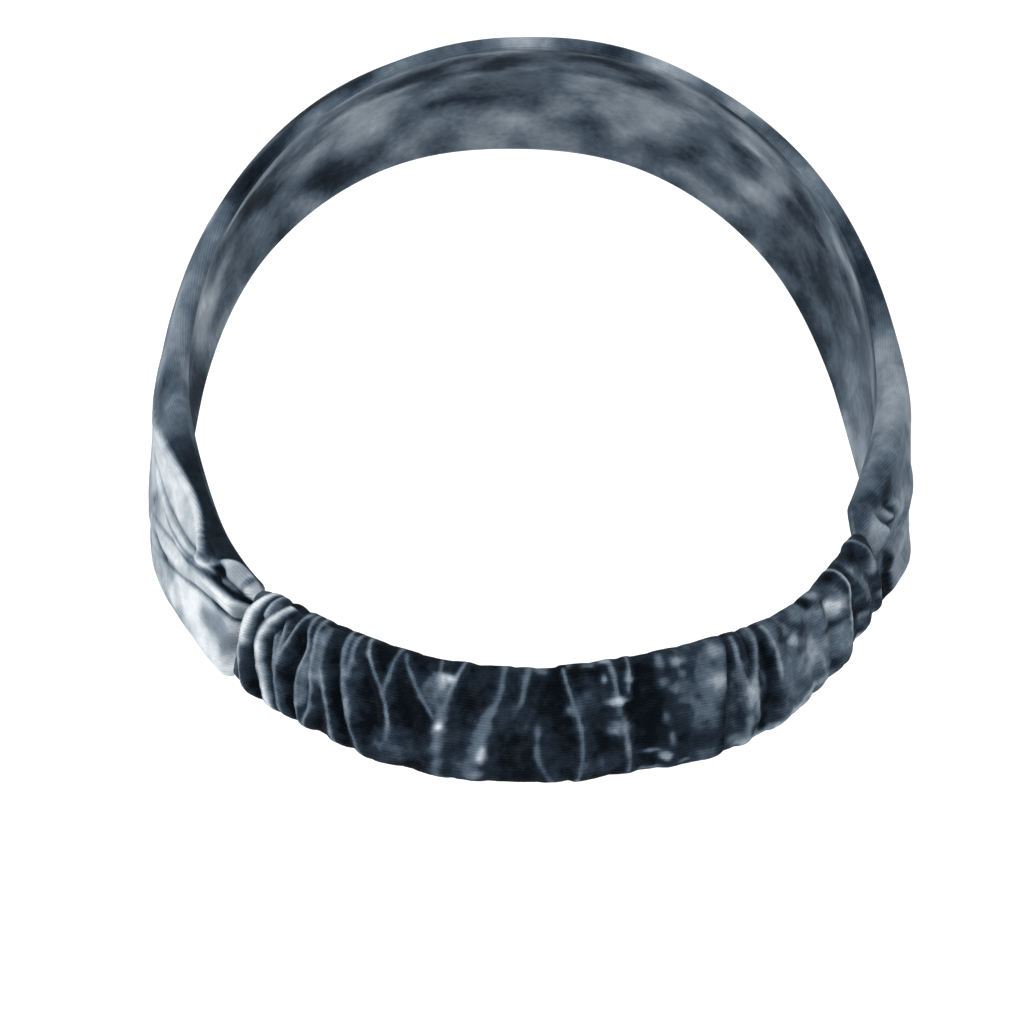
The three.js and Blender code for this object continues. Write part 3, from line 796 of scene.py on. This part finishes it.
# Its gathers, from the left mouth to the right one. The first five columns are the crest's places
# along the casing at five heights from the upper edge to the lower edge, in shares of half its
# length. high and low are the heights between which it runs. rise, left and right are millimetres.
GATHER_HEIGHTS = (-1.0, -0.5, 0.0, 0.5, 1.0)
Gather = namedtuple("Gather", "top upper middle lower foot high low rise left right")
GATHERS = [
    Gather(-0.945, -0.980, -0.970, -0.950, -0.905, 1, -1, 3.0, 2.0, 3.4),
    Gather(-0.920, -0.922, -0.922, -0.922, -0.922, 1, 0.70, 2.4, 1.4, 1.6),
    Gather(-0.860, -0.912, -0.910, -0.865, -0.820, 1, -1, 3.0, 2.0, 3.0),
    Gather(-0.865, -0.865, -0.845, -0.815, -0.785, 0.4, -1, 2.4, 1.7, 4.0),
    Gather(-0.850, -0.845, -0.840, -0.838, -0.838, 0.70, 0.05, 2.0, 1.1, 1.2),
    Gather(-0.797, -0.817, -0.842, -0.842, -0.842, 1, 0.05, 2.5, 1.5, 4.0),
    Gather(-0.775, -0.752, -0.760, -0.750, -0.720, 1, -1, 2.5, 1.5, 2.6),
    Gather(-0.742, -0.731, -0.720, -0.703, -0.718, 1, -1, 2.5, 1.8, 2.6),
    Gather(-0.690, -0.698, -0.680, -0.648, -0.620, 1, -1, 2.3, 2.6, 3.2),
    Gather(-0.650, -0.640, -0.618, -0.585, -0.545, 1, -1, 2.5, 1.8, 7.5),
    Gather(-0.622, -0.620, -0.620, -0.620, -0.620, 1, 0.35, 2.0, 1.3, 2.8),
    Gather(-0.595, -0.550, -0.508, -0.498, -0.515, 1, -1, 2.4, 3.2, 5.0),
    Gather(-0.512, -0.522, -0.522, -0.522, -0.522, 1, 0.20, 1.9, 2.0, 2.0),
    Gather(-0.500, -0.450, -0.395, -0.376, -0.368, 1, -1, 2.0, 5.5, 3.0),
    Gather(-0.348, -0.372, -0.382, -0.382, -0.382, 1, 0.0, 1.8, 3.4, 2.4),
    Gather(-0.245, -0.253, -0.273, -0.291, -0.290, 1, -1, 1.7, 5.0, 2.6),
    Gather(-0.188, -0.196, -0.225, -0.225, -0.225, 1, 0.10, 1.6, 3.4, 2.2),
    Gather(-0.140, -0.145, -0.150, -0.147, -0.112, 0.1, -1, 1.1, 2.6, 3.4),
    Gather(-0.085, -0.062, -0.043, -0.040, -0.052, 1, -1, 2.4, 1.4, 7.0),
    Gather(0.048, 0.058, 0.062, 0.070, 0.066, 1, -1, 1.5, 3.6, 1.8),
    Gather(0.100, 0.088, 0.078, 0.078, 0.078, 1, 0.40, 1.6, 1.6, 1.2),
    Gather(0.185, 0.175, 0.165, 0.168, 0.165, 1, -1, 1.5, 2.0, 4.5),
    Gather(0.268, 0.255, 0.235, 0.225, 0.215, 1, -1, 1.0, 2.4, 2.4),
    Gather(0.345, 0.330, 0.315, 0.298, 0.283, 1, -1, 2.1, 6.0, 1.6),
    Gather(0.378, 0.376, 0.390, 0.378, 0.360, 1, -1, 2.0, 1.8, 2.2),
    Gather(0.398, 0.402, 0.404, 0.404, 0.404, 1, 0.50, 1.5, 0.9, 0.9),
    Gather(0.438, 0.428, 0.412, 0.400, 0.390, 1, -0.6, 1.8, 1.4, 1.6),
    Gather(0.474, 0.490, 0.488, 0.478, 0.455, 1, -1, 2.0, 1.7, 6.0),
    Gather(0.600, 0.575, 0.565, 0.560, 0.550, 1, -1, 1.3, 5.0, 5.0),
    Gather(0.690, 0.683, 0.676, 0.660, 0.640, 1, -1, 1.4, 2.4, 3.6),
    Gather(0.822, 0.806, 0.782, 0.764, 0.745, 1, -1, 3.0, 6.5, 1.4),
    Gather(0.850, 0.878, 0.905, 0.893, 0.875, 1, -1, 1.6, 2.6, 4.4),
    Gather(0.952, 0.968, 0.970, 0.962, 0.940, 1, -0.2, 2.5, 1.7, 1.7),
    Gather(1.025, 1.015, 1.002, 1.000, 1.000, 1, -1, 2.4, 2.0, 1.4),
]
# A gather fades past its ends, in half heights, and isn't looked for farther off than this, in
# half lengths of the casing and in millimetres
GATHER_END_FADE = 0.2
MARK_REACH = 0.25
GATHER_SIGHT = 12
STREAK_SIGHT = 6
NOWHERE_NEAR = 99.0
CASING_EDGE = 0.97
VALLEY_DEPTH = 0.9
SWAY = 0.004
CASING_PUCKERS = [Swell(0.4, 30, 1.6, 2.0), Swell(0.3, 75, 4.0, 5.0)]

# The casing's dye along its length, from its left mouth at -1 to its right mouth at 1
CASING_DIPS = [
    Dip(-1.03, 0.50), Dip(-0.99, 0.66), Dip(-0.94, 0.96), Dip(-0.86, 1.05), Dip(-0.70, 1.06),
    Dip(-0.45, 1.03), Dip(-0.17, 0.99), Dip(-0.01, 1.01), Dip(0.13, 1.00), Dip(0.20, 0.87),
    Dip(0.30, 0.76), Dip(0.40, 0.80), Dip(0.50, 0.73), Dip(0.62, 0.68), Dip(0.72, 0.69),
    Dip(0.84, 0.80), Dip(0.93, 0.86), Dip(1.0, 0.78), Dip(1.11, 0.68),
]

# Long pale and dark marks along the gathers, mostly on their crests and in the hollows between
# them:
# partly the dye, and partly painted highlight on the crests and painted shade in the hollows. The
# columns are those of the gathers, and the last is how dark they make the cloth.
Streak = namedtuple("Streak", "top upper middle lower foot high low left right dye")
STREAKS = [
    Streak(-0.712, -0.712, -0.700, -0.685, -0.680, 0.9, 0.05, 2.0, 1.8, 0.56),
    Streak(-0.752, -0.742, -0.742, -0.735, -0.730, 0.2, -0.5, 1.2, 1.2, 0.58),
    Streak(-0.946, -0.972, -0.966, -0.955, -0.920, 1, 0.05, 1.5, 1.7, -0.04),
    Streak(-0.950, -0.978, -0.970, -0.952, -0.908, 0.05, -1, 0.8, 0.8, 0.16),
    Streak(-0.925, -0.938, -0.932, -0.905, -0.870, 1, -1, 0.8, 0.8, 0.97),
    Streak(-0.920, -0.920, -0.920, -0.920, -0.920, 1, 0.75, 0.6, 0.5, 0.20),
    Streak(-0.858, -0.905, -0.904, -0.860, -0.818, 0.98, -1, 1.0, 1.6, 0.02),
    Streak(-0.835, -0.872, -0.878, -0.832, -0.800, 1, -1, 0.6, 0.7, 0.97),
    Streak(-0.865, -0.865, -0.845, -0.815, -0.785, 0.4, -1, 0.5, 0.7, 0.42),
    Streak(-0.850, -0.845, -0.838, -0.835, -0.835, 0.65, 0.0, 0.5, 0.6, 0.44),
    Streak(-0.797, -0.817, -0.840, -0.840, -0.840, 1, 0.1, 0.6, 0.9, 0.45),
    Streak(-0.775, -0.752, -0.760, -0.750, -0.720, 1, -1, 0.4, 0.8, 0.42),
    Streak(-0.742, -0.731, -0.720, -0.703, -0.718, 1, -1, 0.5, 0.5, 0.42),
    Streak(-0.690, -0.698, -0.680, -0.648, -0.620, 0.15, -1, 0.4, 0.5, 0.42),
    Streak(-0.650, -0.640, -0.616, -0.583, -0.545, 0.9, -0.3, 0.6, 1.0, 0.44),
    Streak(-0.650, -0.640, -0.618, -0.585, -0.545, 1, -1, 0.4, 0.6, 0.52),
    Streak(-0.622, -0.620, -0.620, -0.620, -0.620, 1, 0.40, 0.4, 0.6, 0.50),
    Streak(-0.595, -0.550, -0.506, -0.496, -0.515, 1, -0.6, 0.6, 0.6, 0.44),
    Streak(-0.512, -0.522, -0.522, -0.522, -0.522, 1, 0.25, 0.5, 0.5, 0.50),
    Streak(-0.500, -0.450, -0.395, -0.376, -0.368, 0.9, 0.1, 0.4, 0.5, 0.48),
    Streak(-0.380, -0.380, -0.380, -0.377, -0.370, 0.2, -1, 1.5, 1.5, 0.52),
    Streak(-0.408, -0.395, -0.395, -0.395, -0.395, 1, 0.70, 0.7, 0.7, 0.50),
    Streak(-0.348, -0.370, -0.380, -0.380, -0.380, 1, 0.30, 0.5, 0.5, 0.46),
    Streak(-0.245, -0.253, -0.273, -0.291, -0.290, 1, -0.2, 1.2, 0.8, 0.52),
    Streak(-0.255, -0.265, -0.280, -0.296, -0.300, 0.25, -0.9, 1.9, 1.8, 0.54),
    Streak(-0.184, -0.192, -0.222, -0.222, -0.222, 1, 0.25, 1.2, 1.1, 0.52),
    Streak(-0.140, -0.145, -0.150, -0.147, -0.112, 0.0, -1, 0.7, 1.0, 0.66),
    Streak(-0.085, -0.062, -0.043, -0.040, -0.052, 0.9, -1, 0.25, 0.5, 0.50),
    Streak(0.048, 0.058, 0.060, 0.060, 0.060, 1, 0.40, 0.9, 0.9, 0.54),
    Streak(0.098, 0.090, 0.078, 0.078, 0.078, 1, 0.55, 0.5, 0.5, 0.46),
    Streak(0.048, 0.058, 0.062, 0.070, 0.066, -0.2, -0.9, 0.4, 0.4, 0.50),
    Streak(0.270, 0.255, 0.230, 0.210, 0.200, 0.8, 0.1, 0.8, 0.8, 0.82),
    Streak(0.362, 0.352, 0.326, 0.300, 0.288, 1, -1, 1.0, 1.4, 0.98),
    Streak(0.378, 0.374, 0.384, 0.374, 0.360, 0.9, -0.9, 0.7, 0.8, 0.50),
    Streak(0.410, 0.412, 0.412, 0.400, 0.390, 1, 0.45, 0.5, 0.5, 0.92),
    Streak(0.392, 0.392, 0.392, 0.392, 0.392, 1, 0.60, 0.5, 0.4, 0.90),
    Streak(0.438, 0.428, 0.410, 0.400, 0.390, 1, -0.5, 0.5, 0.5, 0.46),
    Streak(0.460, 0.464, 0.456, 0.436, 0.405, 1, -1, 1.3, 1.3, 0.97),
    Streak(0.474, 0.492, 0.490, 0.480, 0.460, 0.95, 0.0, 0.5, 0.7, 0.42),
    Streak(0.842, 0.828, 0.802, 0.784, 0.765, 1, -1, 0.6, 1.5, 0.92),
    Streak(0.822, 0.804, 0.780, 0.762, 0.745, 1, -0.3, 0.4, 0.3, 0.28),
    Streak(0.850, 0.876, 0.903, 0.890, 0.875, 0.85, -0.1, 0.7, 0.8, 0.52),
    Streak(0.910, 0.925, 0.930, 0.930, 0.930, 0.96, 0.65, 1.5, 1.5, 1.0),
    Streak(0.958, 0.962, 0.950, 0.935, 0.930, 1, 0.30, 0.5, 0.5, 0.42),
    Streak(0.990, 0.990, 0.985, 0.980, 0.980, 1, 0.20, 0.9, 0.6, 0.84),
    Streak(0.880, 0.895, 0.915, 0.930, 0.935, 0.5, -0.3, 0.5, 0.5, 0.52),
    Streak(1.020, 1.012, 1.010, 0.990, 0.985, 0.9, -0.7, 0.6, 0.6, 0.36),
]

# Round and broad marks: their places in half lengths and half widths of the casing, their half
# breadths along and across it in millimetres, and the dye
Spot = namedtuple("Spot", "at across long wide dye")
SPOTS = [
    Spot(-0.475, -0.62, 4.4, 4.0, 0.70),
    Spot(-0.408, 0.56, 3.2, 3.2, 0.62),
    Spot(-0.432, 0.90, 2.0, 1.2, 0.92),
    Spot(-0.398, 0.45, 2.6, 3.6, 0.60),
    Spot(-0.388, 0.66, 1.9, 1.6, 0.36),
    Spot(-0.381, 0.73, 1.5, 1.2, 0.06),
    Spot(-0.382, -0.08, 0.9, 1.1, 0.04),
    Spot(-0.277, -0.50, 1.0, 2.0, 0.03),
    Spot(-0.285, -0.86, 2.0, 1.0, 0.50),
    Spot(-0.145, 1.00, 2.0, 1.0, 0.50),
    Spot(-0.062, 1.00, 1.2, 0.9, 0.60),
    Spot(-0.010, 1.00, 2.4, 0.9, 0.60),
    Spot(-0.200, 0.11, 4.0, 3.4, 0.80),
    Spot(-0.060, 0.26, 1.5, 1.6, 0.46),
    Spot(-0.012, 0.45, 4.0, 4.5, 0.78),
    Spot(0.000, -0.75, 4.2, 2.0, 0.74),
    Spot(0.028, 0.72, 0.8, 1.1, 0.38),
    Spot(0.040, 1.00, 1.6, 0.9, 0.36),
    Spot(0.096, 0.64, 1.3, 0.8, 0.38),
    Spot(0.060, 0.31, 2.8, 1.0, 0.44),
    Spot(0.062, 0.30, 1.0, 1.0, 0.12),
    Spot(0.060, 0.08, 1.4, 2.2, 0.64),
    Spot(0.056, -0.15, 2.6, 1.8, 0.52),
    Spot(0.072, -0.45, 0.8, 2.2, 0.46),
    Spot(0.178, 0.84, 1.1, 2.0, 0.51),
    Spot(0.176, 0.50, 1.3, 1.4, 0.61),
    Spot(0.222, 0.80, 2.0, 1.0, 0.43),
    Spot(0.231, 0.57, 0.9, 1.0, 0.47),
    Spot(0.215, 0.38, 2.0, 1.4, 0.61),
    Spot(0.172, -0.10, 1.1, 1.6, 0.63),
    Spot(0.178, -0.48, 0.9, 1.8, 0.49),
    Spot(0.157, -0.74, 1.3, 1.2, 0.39),
    Spot(0.125, -0.63, 2.6, 0.5, 0.58),
    Spot(0.125, -0.95, 3.4, 0.5, 0.56),
    Spot(0.198, -0.88, 1.4, 0.5, 0.51),
    Spot(0.262, 0.00, 3.6, 4.6, 0.61),
    Spot(0.285, 0.48, 2.4, 3.6, 0.59),
    Spot(0.245, -0.60, 6.0, 1.9, 0.88),
    Spot(0.318, 0.82, 2.2, 1.3, 0.49),
    Spot(0.310, 0.31, 2.2, 2.2, 0.30),
    Spot(0.396, -0.08, 1.7, 3.2, 0.26),
    Spot(0.374, 0.30, 1.2, 1.6, 0.55),
    Spot(0.360, -0.42, 1.8, 1.4, 0.86),
    Spot(0.378, -0.55, 1.2, 1.4, 0.45),
    Spot(0.356, -0.90, 3.0, 0.9, 0.33),
    Spot(0.335, -0.80, 1.8, 1.2, 0.53),
    Spot(0.446, 0.06, 0.7, 2.6, 0.71),
    Spot(0.535, 0.10, 2.6, 5.0, 0.57),
    Spot(0.560, 0.50, 1.6, 1.8, 0.24),
    Spot(0.545, 0.70, 1.4, 1.4, 0.51),
    Spot(0.600, 0.86, 2.0, 1.2, 0.55),
    Spot(0.608, 0.56, 1.8, 1.4, 0.82),
    Spot(0.578, 0.22, 2.4, 1.2, 0.74),
    Spot(0.632, -0.02, 2.2, 3.4, 0.31),
    Spot(0.597, -0.28, 2.6, 1.8, 0.43),
    Spot(0.560, -0.45, 2.4, 1.6, 0.69),
    Spot(0.600, -0.76, 4.6, 1.2, 0.33),
    Spot(0.540, -0.86, 4.2, 1.0, 0.27),
    Spot(0.465, -0.92, 3.6, 1.0, 0.29),
    Spot(0.420, -0.96, 3.0, 0.8, 0.37),
    Spot(0.660, 0.98, 1.6, 1.6, 1.0),
    Spot(0.700, 0.96, 1.8, 1.0, 0.49),
    Spot(0.712, 0.80, 2.6, 0.8, 0.80),
    Spot(0.690, 0.62, 1.0, 1.8, 0.53),
    Spot(0.750, 0.52, 3.0, 2.4, 0.16),
    Spot(0.785, 0.99, 2.0, 1.0, 0.99),
    Spot(0.715, 0.18, 4.4, 1.2, 0.84),
    Spot(0.680, -0.02, 2.0, 1.8, 0.51),
    Spot(0.735, -0.22, 2.6, 2.4, 0.53),
    Spot(0.690, -0.66, 1.8, 1.6, 0.90),
    Spot(0.655, -0.42, 0.5, 2.8, 0.47),
    Spot(0.735, -0.92, 2.6, 0.7, 0.33),
    Spot(0.845, 0.20, 2.4, 2.8, 0.78),
    Spot(0.785, -0.60, 1.4, 2.0, 0.98),
    Spot(0.880, -0.44, 1.8, 1.4, 0.55),
    Spot(0.850, -0.90, 3.0, 0.7, 0.37),
    Spot(0.900, 0.92, 2.0, 1.2, 0.98),
    Spot(0.912, 0.58, 2.6, 1.4, 0.80),
    Spot(0.930, -0.50, 2.6, 2.0, 0.74),
    Spot(0.985, -0.68, 1.2, 2.0, 0.82),
]


def off_path(mark, share, height):
    """How far a place on the casing is from a gather or streak, in millimetres, and its fade."""
    stops_short = (
        height > CASING_EDGE and mark.high < 1 or height < -CASING_EDGE and mark.low > -1)
    if abs(share - mark.middle) > MARK_REACH or stops_short:
        return NOWHERE_NEAR, 0.0
    past = max(height - mark.high, mark.low - height, 0.0) if abs(height) < 0.98 else 0.0
    path = (mark.foot, mark.lower, mark.middle, mark.upper, mark.top)
    distance = (share - path_at(path, GATHER_HEIGHTS, height)) * CASING_LENGTH / 2 / MILLIMETRE
    return distance, 1 - ease(past / GATHER_END_FADE)


def gather_rise(share, height):
    """How high the gathers stand at a place on the casing, in millimetres."""
    sway = SWAY * noise.noise(Vector((share * 9, height * 2.5, 3.0)))
    rise = 0.0
    for fold in GATHERS:
        distance, fade = off_path(fold, share + sway, height)
        if abs(distance) < GATHER_SIGHT:
            rise = max(rise, fold.rise * fade * roll(distance, fold.left, fold.right))
    return rise


TURNED_HEM = 0.0016
TURNED_IN = 0.0004


def casing_section(at):
    """The casing's width, its shift, its thickness, its crown and how far it is sunk at a place."""
    turned_in = TURNED_IN * (1 - ease(-out_of_mouth(at) / TURNED_HEM))
    width, shift = casing_breadth(at)
    return (
        width - 2 * turned_in, shift, CASING_THICKNESS - 2 * turned_in, OUTER_CROWN, turned_in)


def casing_relief(at, height, round_cloth, out_lift):
    """How far the casing's gathers stand out of its section at a place."""
    share = (at - casing_middle) / casing_half
    rise = gather_rise(share, height) - VALLEY_DEPTH
    rise += sum(swell_at(pucker, share, height) for pucker in CASING_PUCKERS)
    return rise * MILLIMETRE * mix(0.5, 1, ease(-out_of_mouth(at) / 0.002))


CASING_MOTTLE = Mottle(9, 0.4, 9, 4, 2.4, 1.1, 0.6)
# STREAK_GLOW is the strength of a streak's soft, one-sided spread down the flank of a gather:
# painted light and shade on that flank.
STREAK_LEAST = 0.65
STREAK_GLOW = 0.34
CASING_INSIDE_DYE = 0.85


def casing_dye_and_painted_light(at, height, round_cloth, out_lift):
    """The dye at a place on the casing, with painted highlights on the gathers' crests and painted
    shade in their hollows, from 0 for bleached to 1 for the darkest.
    """
    share = (at - casing_middle) / casing_half
    cloud, grain = mottled(
        Vector((at * half_loop, height * CASING_WIDTH / 2, out_lift * 0.004)), CASING_MOTTLE)
    patchy = mix(0.11, 0.26, between(share, 0.1, 0.4))
    dye = along(CASING_DIPS, "base", share) + patchy * (cloud + 0.35 * grain)
    for streak in STREAKS:
        distance, fade = off_path(streak, share, height)
        if abs(distance) < STREAK_SIGHT and fade > 0:
            wander = distance * (1 + 0.25 * grain) + 0.25 * cloud
            sharp = flank(
                wander, max(streak.left, STREAK_LEAST), max(streak.right, STREAK_LEAST))
            soft = STREAK_GLOW * flank(wander, 1.4 * streak.left, 4.0 * streak.right)
            strength = fade * max(sharp, soft) * (0.94 + 0.2 * cloud)
            dye = mix(dye, streak.dye + 0.10 * grain, min(max(strength, 0.0), 1.0))
    for spot in SPOTS:
        x = (share - spot.at) * CASING_LENGTH / 2 / MILLIMETRE / spot.long
        y = (height - spot.across) * CASING_WIDTH / 2 / MILLIMETRE / spot.wide
        dye = marked(dye, x, y, spot.dye, grain)
    if out_lift < -0.5:
        dye = mix(dye, CASING_INSIDE_DYE + 0.3 * cloud, 0.6)
    return min(max(dye, 0.0), 1.0)


CASING_STEPS = 372
CASING_ROUND_STEPS = 128

casing_places = [mix(left_mouth, right_mouth, i / CASING_STEPS) for i in range(CASING_STEPS + 1)]

casing = sew_tube(
    "casing_cloth", casing_places, CASING_ROUND_STEPS, casing_section, casing_relief, casing_dye_and_painted_light)
casing.data.materials.append(tie_dyed_jersey("casing jersey", 3.0))
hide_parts("elastic_casing")
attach(casing, "root")

# The stage
# A pale round floor that curves up all round into a backdrop, a pale room, and three soft studio
# lamps. The floor glows faintly, so that it shows as plain white.

FLOOR_DROP = 0.235
FLOOR_RADIUS = 2.2
FLOOR_RISE = 1.6
FLOOR_BENDS = 12

bm = bmesh.new()
profile = [bm.verts.new((0, 0, 0)), bm.verts.new((FLOOR_RADIUS - FLOOR_RISE, 0, 0))]
for i in range(1, FLOOR_BENDS + 1):
    turn = math.pi / 2 * i / FLOOR_BENDS
    profile.append(bm.verts.new((
        FLOOR_RADIUS - FLOOR_RISE + FLOOR_RISE * math.sin(turn), 0,
        FLOOR_RISE - FLOOR_RISE * math.cos(turn))))
edges = [bm.edges.new(pair) for pair in zip(profile, profile[1:])]
bmesh.ops.spin(
    bm, geom=profile + edges, axis=(0, 0, 1), cent=(0, 0, 0), angle=2 * math.pi, steps=64,
    use_merge=True)
bmesh.ops.remove_doubles(bm, verts=bm.verts, dist=1e-5)
bmesh.ops.translate(bm, verts=bm.verts, vec=(0, 0, -FLOOR_DROP))
bmesh.ops.recalc_face_normals(bm, faces=bm.faces)
for face in bm.faces:
    face.smooth = True
floor_mesh = bpy.data.meshes.new("floor")
bm.to_mesh(floor_mesh)
bm.free()
floor = bpy.data.objects.new("floor", floor_mesh)
bpy.context.scene.collection.objects.link(floor)
paint = bpy.data.materials.new("floor paint")
paint.use_nodes = True
coat = paint.node_tree.nodes["Principled BSDF"].inputs
coat["Base Color"].default_value = (0.86, 0.87, 0.88, 1)
coat["Roughness"].default_value = 0.9
coat["Emission Color"].default_value = (1, 1, 1, 1)
coat["Emission Strength"].default_value = 0.3
floor.data.materials.append(paint)

world = bpy.data.worlds.new("pale room")
world.use_nodes = True
sky = world.node_tree.nodes["Background"].inputs
sky["Color"].default_value = (0.93, 0.96, 1.0, 1)
sky["Strength"].default_value = 0.46
bpy.context.scene.world = world
bpy.context.scene.view_settings.view_transform = "Standard"

# Their angles are in degrees, round from the back and up from the level of the aim
Lamp = namedtuple("Lamp", "name azimuth elevation distance size power")
for lamp in (
    Lamp("key light", -48, 42, 1.3, 0.6, 10),
    Lamp("fill light", 55, 20, 1.5, 1.0, 3),
    Lamp("front light", 170, 50, 1.5, 1.0, 6),
):
    light = bpy.data.lights.new(lamp.name, "AREA")
    light.shape = "DISK"
    light.size = lamp.size
    light.energy = lamp.power
    turn, rise = math.radians(lamp.azimuth), math.radians(lamp.elevation)
    way = Vector((
        math.sin(turn) * math.cos(rise), -math.cos(turn) * math.cos(rise), math.sin(rise)))
    holder = bpy.data.objects.new(lamp.name, light)
    holder.location = AIM + way * lamp.distance
    holder.rotation_mode = "QUATERNION"
    holder.rotation_quaternion = (-way).to_track_quat("-Z", "Y")
    bpy.context.scene.collection.objects.link(holder)
